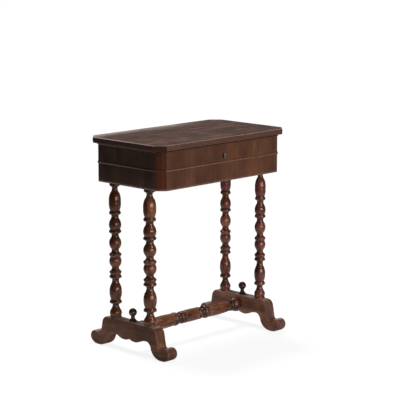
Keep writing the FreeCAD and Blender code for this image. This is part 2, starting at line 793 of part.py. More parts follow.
nodes["case_left"] = box(
    "case_left", (f"-{HALF_LENGTH}", f"-{BOARD_DEPTH} / 2", CASE_BASE),
    ("Sizes.wall_thickness", BOARD_DEPTH, "Sizes.case_height"),
)
nodes["case_right"] = box(
    "case_right", (INNER_LENGTH, f"-{BOARD_DEPTH} / 2", CASE_BASE),
    ("Sizes.wall_thickness", BOARD_DEPTH, "Sizes.case_height"),
)


def corner(name, column, row):
    """One canted corner post; column and row give the side, -1 or 1."""
    item = body(name)
    path = [
        (f"({HALF_LENGTH} - Sizes.corner_cant) * {column}", f"{HALF_DEPTH} * {row}"),
        (f"{HALF_LENGTH} * {column}", f"({HALF_DEPTH} - Sizes.corner_cant) * {row}"),
        (f"{INNER_LENGTH} * {column}", f"({HALF_DEPTH} - Sizes.corner_cant) * {row}"),
        (f"({HALF_LENGTH} - Sizes.corner_cant) * {column}", f"{INNER_DEPTH} * {row}"),
    ]
    pad(item, outline(item, name + "_outline", "XY_Plane", path), "Sizes.case_height")
    place(item, z=CASE_BASE)
    nodes[name] = item


corners = {"front_left": (-1, -1), "front_right": (1, -1), "back_left": (-1, 1), "back_right": (1, 1)}
for hand, (column, row) in corners.items():
    corner("corner_" + hand, column, row)

floor_board = body("floor_board")
pad(
    floor_board,
    outline(floor_board, "floor_outline", "XY_Plane", octagon(INNER_LENGTH, INNER_DEPTH, INNER_CANT)),
    "Sizes.floor_thickness",
)
place(floor_board, z=CASE_BASE)
tenon_holes = {
    hand: rod(
        f"tenon_hole_{hand}",
        (f"{LEG_X} * {column}", f"Sizes.leg_pitch_y / 2 * {row}", CASE_BASE),
        "Sizes.leg_tenon_diameter", "Sizes.floor_thickness + Sizes.bearer_thickness",
    )
    for hand, (column, row) in corners.items()
}
nodes["case_floor"] = cut("case_floor", floor_board, list(tenon_holes.values()))
bearer_length = f"(2 * ({INNER_DEPTH} - {INNER_CANT}))"
for hand, start in (("left", f"-{INNER_LENGTH}"), ("right", f"{INNER_LENGTH} - Sizes.bearer_width")):
    bar = box(
        f"bearer_{hand}_bar", (start, f"-{bearer_length} / 2", f"{CASE_BASE} + Sizes.floor_thickness"),
        ("Sizes.bearer_width", bearer_length, "Sizes.bearer_thickness"),
    )
    nodes[f"bearer_{hand}"] = cut(
        f"bearer_{hand}", bar, [tenon_holes[f"front_{hand}"], tenon_holes[f"back_{hand}"]],
    )

# Beads. Half-round strips, mitred at the corners, round the waist and under the lid; the back has none.
bead_round_share = 0.48
mitre_share = math.tan(math.radians(45 / 2))
mitre = f"Sizes.bead_proud * {mitre_share}"
faces = {
    "front": (180, BOARD_LENGTH, "0", f"-{HALF_DEPTH}", mitre, mitre),
    "left": (90, BOARD_DEPTH, f"-{HALF_LENGTH}", "0", mitre, mitre),
    "right": (-90, BOARD_DEPTH, HALF_LENGTH, "0", mitre, mitre),
}
for hand, (column, row) in corners.items():
    flush = "-Sizes.bead_proud"
    faces["corner_" + hand] = (
        -column * (45 if row > 0 else 135),
        "(Sizes.corner_cant * sqrt(2))",
        f"({HALF_LENGTH} - Sizes.corner_cant / 2) * {column}",
        f"({HALF_DEPTH} - Sizes.corner_cant / 2) * {row}",
        flush if (column, row) == (1, 1) else mitre,
        flush if (column, row) == (-1, 1) else mitre,
    )


def bead(name, face, level):
    """One bead strip on one face of the case."""
    turn, length, x, y, low_mitre, high_mitre = faces[face]
    item = body(name, turn)
    place(item, x, y, level)
    strip = pad(item, outline(item, name + "_outline", "XY_Plane", [
        (f"-{length} / 2", "0"),
        (f"{length} / 2", "0"),
        (f"{length} / 2 + {high_mitre}", "Sizes.bead_proud"),
        (f"-{length} / 2 - {low_mitre}", "Sizes.bead_proud"),
    ]), "Sizes.bead_width")
    outer = lying("Y", sheet.bead_proud)

    def long_and_outer(edge):
        return outer(edge) and edge.BoundBox.XLength > edge.BoundBox.ZLength

    rounded(item, strip, long_and_outer, f"Sizes.bead_width * {bead_round_share}")
    nodes[name] = item


for face in faces:
    bead("waist_bead_" + face, face, f"{CASE_BASE} + Sizes.waist_height")
    bead("rim_bead_" + face, face, f"{CASE_TOP} - Sizes.bead_width")

# Lid. One board with canted corners, its edges a little rounded above and more below, with seats for its
# fittings.
lid_body = body("lid_body")
place(lid_body, z=LID_BASE)
lid_half_length = f"({HALF_LENGTH} + Sizes.lid_end_overhang)"
lid_half_depth = f"({HALF_DEPTH} + Sizes.lid_side_overhang)"
lid_path = octagon(lid_half_length, lid_half_depth, "Sizes.lid_cant")
lid_pad = pad(lid_body, outline(lid_body, "lid_outline", "XY_Plane", lid_path), "Sizes.lid_thickness")
lid_round = rounded(lid_body, lid_pad, lying("Z", sheet.lid_thickness), "Sizes.lid_top_round")
rounded(lid_body, lid_round, lying("Z", 0), "Sizes.lid_under_round")
lid_seats = [strike_block]
for hand, start in hinge_starts.items():
    lid_seats.append(box(
        f"lid_leaf_seat_{hand}", (start, leaf_front, f"{LID_BASE} - Sizes.overrun"),
        ("Sizes.hinge_length", leaf_width, "Sizes.leaf_thickness + Sizes.overrun"),
    ))
    room = "(Sizes.knuckle_diameter / 2 + Sizes.moving_gap)"
    lid_seats.append(box(
        f"knuckle_room_{hand}",
        (f"{start} - Sizes.moving_gap", f"{hinge_axis_y} - {room}", f"{LID_BASE} - Sizes.overrun"),
        ("Sizes.hinge_length + 2 * Sizes.moving_gap", f"2 * {room}",
         f"{hinge_axis_z} + {room} - {LID_BASE} + Sizes.overrun"),
    ))
nodes["lid_board"] = cut(
    "lid_board", lid_body, lid_seats + [nodes["hinge_lid_screws"], nodes["strike_screws"]],
)

# Till. A shallow tray with two dividers slides on a runner along each long wall; it rests at the right end.
till_base = f"({CASE_TOP} - Sizes.till_drop - Sizes.till_height)"
till_right = f"({BOARD_LENGTH} / 2 - Sizes.till_gap)"
till_left = f"({till_right} - Sizes.till_length)"
till_half_depth = f"({INNER_DEPTH} - Sizes.till_gap)"
till_inner_depth = f"(2 * {till_half_depth} - 2 * Sizes.till_wall)"
till_inner_length = "(Sizes.till_length - 2 * Sizes.till_wall)"
for hand, y in (("front", f"-{till_half_depth}"), ("back", f"{till_half_depth} - Sizes.till_wall")):
    nodes[f"till_{hand}"] = box(
        f"till_{hand}", (till_left, y, till_base),
        ("Sizes.till_length", "Sizes.till_wall", "Sizes.till_height"),
    )
for hand, x in (("left", till_left), ("right", f"{till_right} - Sizes.till_wall")):
    nodes[f"till_{hand}"] = box(
        f"till_{hand}", (x, f"-{till_inner_depth} / 2", till_base),
        ("Sizes.till_wall", till_inner_depth, "Sizes.till_height"),
    )
nodes["till_floor"] = box(
    "till_floor_board", (f"{till_left} + Sizes.till_wall", f"-{till_inner_depth} / 2", till_base),
    (till_inner_length, till_inner_depth, "Sizes.till_floor"),
)
divider_shares = {"left": 1 / 3, "right": 2 / 3}
for hand, share in divider_shares.items():
    nodes[f"till_divider_{hand}"] = box(
        f"till_divider_{hand}",
        (f"{till_left} + Sizes.till_wall + {till_inner_length} * {share} - Sizes.till_divider / 2",
         f"-{till_inner_depth} / 2", f"{till_base} + Sizes.till_floor"),
        ("Sizes.till_divider", till_inner_depth,
         "Sizes.till_height - Sizes.till_floor - Sizes.till_divider_drop"),
    )
for hand, y in (("front", f"-{INNER_DEPTH}"), ("back", f"{INNER_DEPTH} - Sizes.runner_size")):
    nodes[f"runner_{hand}"] = box(
        f"runner_{hand}", (f"-{BOARD_LENGTH} / 2", y, f"{till_base} - Sizes.slide_gap - Sizes.runner_size"),
        (BOARD_LENGTH, "Sizes.runner_size", "Sizes.runner_size"),
    )

doc.recompute()
for item in doc.Objects:
    if "Invalid" in item.State or "Error" in item.State:
        raise RuntimeError(f"{item.Name} did not build: {item.State}")
os.makedirs("parts", exist_ok=True)
for name, item in nodes.items():
    item.Label = name
    shape = item.Shape
    if shape.isNull() or not shape.isValid() or not shape.Solids:
        raise RuntimeError(f"{name} has no valid solid")
    shape.exportStep(f"parts/{name}.step")
    print(name, len(shape.Solids), round(shape.Volume / 1000, 2))
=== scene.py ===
import math

import bmesh
import bpy
import numpy as np
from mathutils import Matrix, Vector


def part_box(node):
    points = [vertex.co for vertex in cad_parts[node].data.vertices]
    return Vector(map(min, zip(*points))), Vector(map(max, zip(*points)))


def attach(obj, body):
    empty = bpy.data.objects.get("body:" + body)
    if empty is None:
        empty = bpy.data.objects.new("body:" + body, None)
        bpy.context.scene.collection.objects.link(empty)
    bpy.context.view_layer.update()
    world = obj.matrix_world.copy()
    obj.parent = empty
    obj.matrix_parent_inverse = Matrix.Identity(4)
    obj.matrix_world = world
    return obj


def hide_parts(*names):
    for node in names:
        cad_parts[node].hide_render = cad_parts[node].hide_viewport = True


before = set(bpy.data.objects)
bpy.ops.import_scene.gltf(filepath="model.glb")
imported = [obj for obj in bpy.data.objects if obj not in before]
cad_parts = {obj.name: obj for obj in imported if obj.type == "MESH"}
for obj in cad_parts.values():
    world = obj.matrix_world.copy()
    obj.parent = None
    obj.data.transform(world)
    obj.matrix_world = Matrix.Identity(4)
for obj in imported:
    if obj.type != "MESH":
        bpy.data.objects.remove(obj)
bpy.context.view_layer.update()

# Trestles: two sawn planks of dull dark hardwood, each with an arched apron and two scroll feet.
# One saw cut runs through the whole thickness; shoes, brooms and damp floors have rounded its edges since,
# and what faces up is paled by dust and by a painted sheen.
half_trestle_shares = [
    (0, 0.444),
    (0.253, 0.435, 0.122, 0.384),
    (0.419, 0.509, 0.338, 0.493),
    (0.535, 0.352, 0.4975, 0.458),
    (0.676, 0.037, 0.586, 0.157),
    (0.746, 0),
    (0.822, 0),
    (0.954, 0.083, 0.898, 0.024),
    (0.907, 0.435, 1, 0.255),
    (0.777, 0.347, 0.8375, 0.410),
    (0.724, 0.481, 0.739, 0.392),
    (0.690, 0.796),
    (0.563, 1, 0.652, 0.935),
    (0, 1),
]
plank_edge = 0.006
edge_rows = 7
plank_step = 0.002
plank_wear = 0.0016
# The right plank's tones are lighter than the left's: painted light.
plank_tones_with_painted_light = {
    "left": ((0.070, 0.0265, 0.0150), (0.132, 0.0520, 0.0300), (0.190, 0.0830, 0.0510)),
    "right": ((0.144, 0.0590, 0.0370), (0.262, 0.1130, 0.0710), (0.352, 0.1640, 0.1050)),
}
front_painted_shade = {"left": (0.90, 0.86, 0.86), "right": (0.42, 0.46, 0.56)}
trestle_worn = (0.175, 0.078, 0.048)
trestle_grime = (0.016, 0.009, 0.006)
dust_and_sheen_colour = (0.450, 0.350, 0.305)


def scaled(shares, across, up):
    """A table of shares as lengths: every first number times across, every second one times up."""
    return [tuple(value * (across, up)[place % 2] for place, value in enumerate(row)) for row in shares]


def drawn(path, step):
    """Points about a step apart on lines and arcs: (x, y) ends a line, (x, y, mid x, mid y) ends an arc.

    An arc's centre is equally far from its start, middle and stop, and its points turn steadily about it.
    """
    runs = [np.array([complex(*path[0])])]
    for row in path[1:]:
        start = runs[-1][-1]
        stop = complex(*row[:2])
        if len(row) == 2:
            count = math.ceil(abs(stop - start) / step) + 1
            runs.append(np.linspace(start, stop, count)[1:])
            continue
        middle = complex(*row[2:])
        ratio = (stop - start) / (middle - start)
        centre = start - (start - middle) * (ratio - abs(ratio) ** 2) / (2j * ratio.imag)
        sweep = np.angle((stop - centre) / (start - centre))
        if sweep * np.angle((middle - centre) / (start - centre)) < 0:
            sweep -= math.copysign(2 * math.pi, sweep)
        count = math.ceil(abs(sweep) * abs(start - centre) / step) + 1
        runs.append(centre + (start - centre) * np.exp(1j * np.linspace(0, sweep, count)[1:]))
    line = np.concatenate(runs)
    return np.stack([line.real, line.imag], axis=-1)


def softened(rows, step, reach, **past_ends):
    """Each row as the mean of the rows near it, weighted by a bell curve exp(-(distance / reach)^2 / 2).

    The rows are a step apart, and past_ends says how they go on beyond the first and the last.
    """
    wide = math.ceil(3 * reach / step)
    bell = np.exp(-0.5 * (np.arange(-wide, wide + 1) * step / reach) ** 2)
    padded = np.pad(rows, ((wide, wide), (0, 0)), **past_ends)
    return np.stack([np.convolve(column, bell / bell.sum(), mode="valid") for column in padded.T], axis=-1)


def rubbed(line, step, reach, closed):
    """The same line at even steps with its corners rubbed round.

    Each point is the bell-weighted mean of the points of the line near it.
    """
    loop = np.vstack([line, line[:1]]) if closed else line
    length = np.concatenate([[0], np.cumsum(np.linalg.norm(np.diff(loop, axis=0), axis=1))])
    count = math.ceil(length[-1] / step) + (0 if closed else 1)
    marks = np.linspace(0, length[-1], count, endpoint=not closed)
    even = np.stack([np.interp(marks, length, loop[:, side]) for side in (0, 1)], axis=-1)
    if closed:
        return softened(even, step, reach, mode="wrap")
    return softened(even, step, reach, mode="reflect", reflect_type="odd")


def smoothed(mesh, sharp_degrees):
    """A mesh shaded smoothly across its edges, except where they turn by more than an angle."""
    mesh.polygons.foreach_set("use_smooth", np.ones(len(mesh.polygons), bool))
    mesh.set_sharp_from_angle(angle=math.radians(sharp_degrees))


def placed(name, data):
    """A new object in the scene, made of a mesh, a lamp or a camera."""
    item = bpy.data.objects.new(name, data)
    bpy.context.scene.collection.objects.link(item)
    return item


def skin(name, grid, relief, closed=True):
    """A mesh from a grid of points, rows along the piece and columns round it.

    Four neighbours make a face, the last column joins the first on a closed skin, and the end rows (or, on an
    open skin, the end columns) are filled. Relief says how proud (1) or hollow (-1) each point is.
    """
    rows, columns = grid.shape[:2]
    index = np.arange(rows * columns).reshape(rows, columns)
    here, ahead = (index, np.roll(index, -1, axis=1)) if closed else (index[:, :-1], index[:, 1:])
    faces = np.stack([here[:-1], ahead[:-1], ahead[1:], here[1:]], axis=-1).reshape(-1, 4).tolist()
    ends = (index[0][::-1], index[-1]) if closed else (index[:, 0], index[::-1, -1])
    faces += [end.tolist() for end in ends]
    mesh = bpy.data.meshes.new(name)
    mesh.from_pydata(grid.reshape(-1, 3).tolist(), [], faces)
    smoothed(mesh, sharp_degrees=38)
    marks = mesh.attributes.new("relief", "FLOAT", "POINT")
    marks.data.foreach_set("value", np.broadcast_to(relief, (rows, columns)).astype(np.float32).ravel())
    return placed(name, mesh)


def board_skin(name, outline, levels, insets, relief, axis):
    """A board: its closed outline at each level of its thickness, drawn in by that level's inset.

    Point (level, s) is outline(s) + inset(level) * inward direction(s), laid in the plane across the axis.
    The direction is the normal, softened over most of the deepest inset so that no corner folds over. The
    shading is weighted by area, so that the two broad faces are flat up to where the rounding begins.
    """
    softening_share = 0.7
    tangent = np.roll(outline, -1, axis=0) - np.roll(outline, 1, axis=0)
    tangent /= np.linalg.norm(tangent, axis=1, keepdims=True)
    normal = np.stack([-tangent[:, 1], tangent[:, 0]], axis=-1)
    step = np.linalg.norm(outline[1] - outline[0])
    inward = softened(normal, step, softening_share * insets.max(), mode="wrap")
    flat = outline[None] + insets[:, None, None] * inward[None]
    depth = np.broadcast_to(levels[:, None, None], flat.shape[:2] + (1,))
    grid = np.roll(np.concatenate([depth, flat], axis=-1), axis, axis=-1)
    item = skin(name, grid, relief[:, None])
    item.modifiers.new("flat_faces", "WEIGHTED_NORMAL").keep_sharp = True
    return item


def blank_finish(name):
    """A new material with nothing in it yet."""
    finish = bpy.data.materials.new(name)
    finish.use_nodes = True
    finish.node_tree.nodes.clear()
    return finish


def shader_node(tree, kind, inputs, **settings):
    """One shader node: settings are its own fields, inputs name sockets and give values or other sockets."""
    item = tree.nodes.new("ShaderNode" + kind)
    for field, value in settings.items():
        setattr(item, field, value)
    for socket, value in inputs.items():
        if isinstance(value, bpy.types.NodeSocket):
            tree.links.new(value, item.inputs[socket])
        else:
            item.inputs[socket].default_value = value
    return item


def coordinates(tree, kind):
    """X, Y and Z of a point of the piece (kind Object), or of the way its surface faces (kind Normal)."""
    return shader_node(tree, "SeparateXYZ", {0: shader_node(tree, "TexCoord", {}).outputs[kind]}).outputs


def grain(tree, along, across_rate, along_rate, detail):
    """Noise drawn out along one axis: so many cells a metre across the grain, and fewer along it."""
    place = shader_node(tree, "TexCoord", {}).outputs["Object"]
    rates = [across_rate] * 3
    rates[along] = along_rate
    drawn_out = shader_node(tree, "Mapping", {"Vector": place, "Scale": rates}).outputs["Vector"]
    inputs = {"Vector": drawn_out, "Scale": 1.0, "Detail": detail, "Roughness": 0.6, "Distortion": 0.35}
    return shader_node(tree, "TexNoise", inputs).outputs["Fac"]


def stepped(tree, value, low, high, start=0.0, stop=1.0):
    """A value's range from low to high, spread smoothly over start to stop."""
    inputs = {"Value": value, "From Min": low, "From Max": high, "To Min": start, "To Max": stop}
    return shader_node(tree, "MapRange", inputs, interpolation_type="SMOOTHSTEP").outputs["Result"]


def sums(tree, operation, first, second=0.0):
    """One sum with one or two values."""
    return shader_node(tree, "Math", {0: first, 1: second}, operation=operation).outputs["Value"]


def product(tree, first, *others):
    """All the values multiplied."""
    for other in others:
        first = sums(tree, "MULTIPLY", first, other)
    return first


def band(tree, value, rise, fall, top=1.0):
    """A share that climbs from 0 over the rise, stays at the top, and sinks to 0 again over the fall."""
    return product(tree, stepped(tree, value, *rise), stepped(tree, value, *fall, top, 0.0))


def tint(tree, share, first, second, blend="MIX"):
    """Two colours mixed by a share."""
    first, second = (
        value if isinstance(value, bpy.types.NodeSocket) else (*value, 1) for value in (first, second)
    )
    inputs = {0: share, 6: first, 7: second}
    return shader_node(tree, "Mix", inputs, data_type="RGBA", blend_type=blend).outputs[2]


def relief_of(tree):
    """How proud or hollow the piece is at a point, as its skin says."""
    return shader_node(tree, "Attribute", {}, attribute_name="relief").outputs["Fac"]


def wood(name, along, tones, grime, gloss, polish, figure_rate, streak_rate, worn=None,
         drawn_out=7, clouds=(0.62, 1.30), fine=0.5, open_pores=0.55, tooth=0.3):
    """Old polished wood.

    Dark, middle and light tones follow broad figure and a fine share of streaks along the grain; pores are
    short dashes of grime; patina clouds the colour and the gloss; tooth is how much of the grain can be felt.
    With a worn colour, the piece's relief puts grime in its hollows and that colour on what is proud.
    """
    tone_places = (0.38, 0.5, 0.62)
    streak_length = 28
    pore_depth = 0.0003
    warm_polish = (1.0, 0.86, 0.74, 1)
    finish = blank_finish(name)
    tree = finish.node_tree
    figure = grain(tree, along, figure_rate, figure_rate / drawn_out, detail=3)
    streak = grain(tree, along, streak_rate, streak_rate / streak_length, detail=4)
    dashes = grain(tree, along, across_rate=streak_rate * 6, along_rate=streak_rate / 5, detail=1)
    pores = stepped(tree, dashes, 0.58, 0.70)
    patina = grain(tree, along, across_rate=17, along_rate=13, detail=5)

    tone = sums(tree, "ADD", product(tree, figure, 1 - fine), product(tree, streak, fine))
    ramp = shader_node(tree, "ValToRGB", {"Fac": tone})
    ramp.color_ramp.elements.new(tone_places[1])
    for stop, place, colour in zip(ramp.color_ramp.elements, tone_places, tones):
        stop.position = place
        stop.color = (*colour, 1)
    cloud = stepped(tree, patina, 0.32, 0.70, *clouds)
    clouded = shader_node(tree, "VectorMath", {0: ramp.outputs["Color"], "Scale": cloud}, operation="SCALE")
    colour = tint(tree, product(tree, pores, open_pores), clouded.outputs["Vector"], grime)
    if worn:
        relief = relief_of(tree)
        hollow = stepped(tree, product(tree, relief, -1.0), 0.05, 0.85, 0.0, 0.85)
        colour = tint(tree, hollow, colour, grime)
        speckle = grain(tree, along, across_rate=240, along_rate=190, detail=3)
        proud = stepped(tree, relief, 0.2, 0.9)
        colour = tint(tree, product(tree, proud, stepped(tree, speckle, 0.36, 0.62, 0.15, 0.8)), colour, worn)

    dullness = sums(tree, "ADD", patina, product(tree, streak, 0.35))
    height = sums(tree, "SUBTRACT", product(tree, streak, 0.5), product(tree, pores, 0.8))
    bump = shader_node(tree, "Bump", {"Strength": tooth, "Distance": pore_depth, "Height": height})
    surface = shader_node(tree, "BsdfPrincipled", {
        "Base Color": colour,
        "Roughness": stepped(tree, dullness, 0.45, 0.90, *gloss),
        "Normal": bump.outputs["Normal"],
        "Specular IOR Level": polish,
        "Specular Tint": warm_polish,
    }, name="surface")
    shader_node(tree, "OutputMaterial", {"Surface": surface.outputs["BSDF"]})
    return finish


def glazed(finish, share, colour, blend="MIX"):
    """A finish with one more colour laid over it by a share, whose nodes are in the finish's own tree."""
    tree = finish.node_tree
    base = tree.nodes["surface"].inputs["Base Color"]
    tree.links.new(tint(tree, share, base.links[0].from_socket, colour, blend), base)


quarter_turn = np.linspace(0, math.pi / 2, edge_rows)
for hand, tones in plank_tones_with_painted_light.items():
    trestle_finish = wood(
        "trestle_finish_" + hand, 1, tones, trestle_grime, gloss=(0.42, 0.66), polish=0.25,
        figure_rate=26, streak_rate=230, worn=trestle_worn, clouds=(0.64, 1.32), fine=0.4,
    )
    tree = trestle_finish.node_tree
    facing = coordinates(tree, "Normal")
    on_front = stepped(tree, facing["Y"], -0.85, -0.35, 1.0, 0.0)
    on_top = stepped(tree, facing["Z"], 0.88, 0.99)
    patches = stepped(tree, grain(tree, 1, across_rate=70, along_rate=40, detail=4), 0.3, 0.7, 0.65, 1.0)
    # Faces turned to the front get a painted shade, deepest on the right plank.
    glazed(trestle_finish, on_front, front_painted_shade[hand], "MULTIPLY")
    # Upward faces are paled: dust and painted sheen.
    glazed(trestle_finish, product(tree, on_top, patches), dust_and_sheen_colour)
    low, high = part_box("trestle_" + hand)
    half_foot = (high.y - low.y) / 2
    half = drawn(scaled(half_trestle_shares, half_foot, high.z), plank_step)
    whole = np.vstack([half, half[-2:0:-1] * (-1, 1)])
    outline = rubbed(whole, plank_step, plank_wear, closed=True)
    rise = plank_edge * (1 - np.cos(quarter_turn))
    levels = np.concatenate([low.x + rise, (high.x - rise)[::-1]])
    insets = plank_edge * (1 - np.concatenate([np.sin(quarter_turn), np.sin(quarter_turn)[::-1]]))
    edge = np.sin(2 * quarter_turn)
    relief = np.concatenate([edge, edge[::-1]])
    trestle = board_skin("trestle_plank_" + hand, outline, levels, insets, relief, 0)
    trestle.data.materials.append(trestle_finish)
    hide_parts("trestle_" + hand)
    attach(trestle, "stand")

# Stretcher: one length of lighter hardwood turned with three barrels between rings and a bulb at each end.
# Its tenons go into the trestles, where the finials' pegs pin them. Rings and necks have gone dark.
half_stretcher_shares = [
    (0, 1),
    (0.128, 0.98, 0.064, 0.995),
    (0.136, 0.90),
    (0.144, 0.88),
    (0.152, 0.92),
    (0.198, 0.88, 0.176, 0.985),
    (0.208, 0.72),
    (0.256, 0.72, 0.232, 0.60),
    (0.264, 0.94),
    (0.332, 0.96, 0.298, 1.07),
    (0.338, 0.90),
    (0.346, 0.98),
    (0.768, 0.90, 0.556, 1.05),
    (0.778, 0.78),
    (0.789, 0.68),
    (0.800, 0.80),
    (0.842, 0.82, 0.822, 0.97),
    (0.851, 0.74),
    (0.972, 0.80, 0.912, 1.08),
    (0.977, 0.72),
    (0.984, 0.92),
    (1, 0.92),
]
inner_rings_start = (0.128, 0.140)
inner_rings_stop = (0.336, 0.348)
outer_rings_start = (0.766, 0.780)
lathe_step = 0.0007
lathe_wear = 0.0003
lathe_sides = 72
stretcher_tenon_radius = 0.010
stretcher_tones = ((0.060, 0.0180, 0.0085), (0.150, 0.0500, 0.0240), (0.260, 0.1020, 0.0500))
stretcher_worn = (0.110, 0.0460, 0.0340)
ring_shade = (0.50, 0.42, 0.50)
turned_grime = (0.028, 0.011, 0.008)
neck_colour = (0.030, 0.0135, 0.0110)


def proudness(profile, step):
    """How far each point of a turned profile stands above its neighbourhood: its radius less a bell-weighted
    mean of the radius round it, as a share of a fixed depth, kept between -1 and 1.
    """
    reach = 0.0045
    depth = 0.0024
    radius = profile[:, 1:]
    return np.clip((radius - softened(radius, step, reach, mode="edge")) / depth, -1, 1)


def lathe_skin(name, path, middle, axis):
    """A turned piece: each point (along, radius) of its profile goes round the axis through the middle point.

    Point (p, a) lies at radius * (cos a, sin a). Old wood shrinks across the grain, so the circle is a
    little oval.
    """
    shrink = 0.006
    profile = rubbed(drawn(path, lathe_step), lathe_step, lathe_wear, closed=False)
    angle = np.linspace(0, 2 * math.pi, lathe_sides, endpoint=False)
    radius = profile[:, 1:] * (1 - shrink * np.cos(angle) ** 2)
    rounds = np.stack([radius * np.cos(angle), radius * np.sin(angle)], axis=-1)
    depth = np.broadcast_to(profile[:, :1, None], rounds.shape[:2] + (1,))
    grid = np.roll(np.concatenate([depth, rounds], axis=-1), axis, axis=-1) + np.array(middle)
    return skin(name, grid, proudness(profile, lathe_step))


def darken_necks(finish):
    """The hollows of a turned finish glazed dark, the more the deeper they are."""
    tree = finish.node_tree
    glazed(finish, stepped(tree, relief_of(tree), -0.35, -0.02, 0.75, 0.0), neck_colour)


stretcher_finish = wood(
    "stretcher_finish", 0, stretcher_tones, turned_grime, gloss=(0.24, 0.40), polish=0.5,
    figure_rate=60, streak_rate=260, worn=stretcher_worn, fine=0.35, tooth=0.15,
)
low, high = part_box("stretcher")
fattest_share = max(row[-1] for row in half_stretcher_shares)
radius = (high.z - low.z) / 2 / fattest_share
half_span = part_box("trestle_right")[0].x
tree = stretcher_finish.node_tree
off_middle = sums(tree, "ABSOLUTE", coordinates(tree, "Object")["X"])
span_share = sums(tree, "DIVIDE", off_middle, half_span)
on_inner_rings = band(tree, span_share, inner_rings_start, inner_rings_stop)
on_outer_rings = stepped(tree, span_share, *outer_rings_start)
glazed(stretcher_finish, sums(tree, "MAXIMUM", on_inner_rings, on_outer_rings), ring_shade, "MULTIPLY")
darken_necks(stretcher_finish)
half = scaled(half_stretcher_shares, half_span, radius)
half += [(half_span, stretcher_tenon_radius), (high.x, stretcher_tenon_radius)]
mirrored = []
for number in range(len(half) - 1, -1, -1):
    later = half[number + 1] if number + 1 < len(half) else ()
    bulge = (-later[2], later[3]) if len(later) == 4 else ()
    mirrored.append((-half[number][0], half[number][1]) + bulge)
stretcher = lathe_skin("stretcher_turning", mirrored + half[1:], (0, 0, (low.z + high.z) / 2), 0)
stretcher.data.materials.append(stretcher_finish)
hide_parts("stretcher")
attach(stretcher, "stand")

# Finials: two small turned balls, nearly black with handling and polish.
# The peg below each goes through the trestle and the stretcher's tenon.
ball_radius = 0.0142
neck_radius = 0.007
flange_radius = 0.014
peg_radius = 0.004
flange_edge_share = 0.06
flange_cove_share = 0.14
flange_foot_share = 0.24
finial_tones = ((0.020, 0.008, 0.0055), (0.040, 0.015, 0.010), (0.070, 0.028, 0.018))
finial_worn = (0.100, 0.045, 0.030)
finial_finish = wood(
    "finial_finish", 2, finial_tones, turned_grime, gloss=(0.20, 0.30), polish=0.55,
    figure_rate=60, streak_rate=300, worn=finial_worn, tooth=0.08,
)
for hand in ("left", "right"):
    low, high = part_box("finial_" + hand)
    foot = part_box("trestle_" + hand)[1].z
    top = high.z - foot
    ball_middle = top - ball_radius
    ball_seat = ball_middle - math.sqrt(ball_radius ** 2 - neck_radius ** 2)
    path = [
        (low.z - foot, peg_radius),
        (0, peg_radius),
        (0, flange_radius),
        (top * flange_edge_share, flange_radius),
        (top * flange_foot_share, neck_radius, top * flange_cove_share, (flange_radius + neck_radius) / 2),
        (ball_seat, neck_radius),
        (top, lathe_step, ball_middle, ball_radius),
    ]
    middle = ((low.x + high.x) / 2, (low.y + high.y) / 2, foot)
    finial = lathe_skin("finial_turning_" + hand, path, middle, 2)
    finial.data.materials.append(finial_finish)
    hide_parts("finial_" + hand)
    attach(finial, "stand")

# Legs: four turnings of red-brown hardwood, vases and balls parted by coves and sharp collars.
# A tenon at the foot sits in the trestle, and one at the head goes up through the case floor and its bearer.
# Necks and collars are dark with old polish, the heads with grime and a painted shadow under the case;
# the two left legs are more amber, the right ones redder, with tones lightened and greyed as painted light
# and sheen, the back one most.
leg_shares = [
    (0, 0.96),
    (0.0095, 0.96),
    (0.0135, 0.90),
    (0.0545, 0.86, 0.0336, 1),
    (0.0880, 0.535, 0.0705, 0.65),
    (0.0985, 0.56),
    (0.1080, 0.98),
    (0.1220, 0.97, 0.1145, 1.02),
    (0.1355, 0.80, 0.1290, 0.87),
    (0.1910, 1.02, 0.1600, 0.965),
    (0.2415, 0.81, 0.2205, 0.96),
    (0.2750, 0.565, 0.2550, 0.655),
    (0.2880, 0.60),
    (0.2975, 0.97),
    (0.3100, 0.96, 0.3035, 1.02),
    (0.3320, 0.95, 0.3195, 0.86),
    (0.3455, 0.93, 0.3390, 1),
    (0.3570, 0.66),
    (0.3800, 0.66, 0.3680, 0.59),
    (0.4495, 0.82, 0.4180, 1),
    (0.4610, 0.95),
    (0.4770, 0.94, 0.4695, 1.01),
    (0.4860, 0.68),
    (0.5135, 0.68, 0.4995, 0.59),
    (0.5955, 0.68, 0.5545, 1),
    (0.6225, 0.62, 0.6105, 0.59),
    (0.6320, 0.95),
    (0.6470, 0.95, 0.6395, 1.01),
    (0.6560, 0.82),
    (0.7300, 0.73, 0.6900, 1),
    (0.7600, 0.63, 0.7475, 0.595),
    (0.7695, 0.93),
    (0.7855, 0.90, 0.7780, 0.97),
    (0.7945, 0.78),
    (0.8570, 0.98, 0.8190, 0.935),
    (0.9220, 0.77, 0.8970, 0.93),
    (0.9555, 0.46, 0.9365, 0.57),
    (0.9765, 0.80, 0.9680, 0.555),
    (0.9800, 0.86),
    (1, 0.86),
]
leg_tenon_radius = 0.008
amber_leg_tones = ((0.062, 0.0158, 0.0072), (0.106, 0.0300, 0.0128), (0.154, 0.0515, 0.0215))
# The right legs' tones are lightened and greyed, the back one most: painted light and sheen.
leg_tones_with_painted_light = {
    "front_left": amber_leg_tones,
    "front_right": ((0.072, 0.0168, 0.0112), (0.116, 0.0300, 0.0205), (0.164, 0.0495, 0.0330)),
    "back_left": amber_leg_tones,
    "back_right": ((0.110, 0.0256, 0.0176), (0.176, 0.0460, 0.0316), (0.238, 0.0720, 0.0476)),
}
leg_worn = (0.044, 0.0210, 0.0185)
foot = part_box("trestle_left")[1].z
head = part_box("case_front")[0].z
head_shadow_and_grime_reach = (head - 0.032, head - 0.014)
fattest_share = max(row[-1] for row in leg_shares)
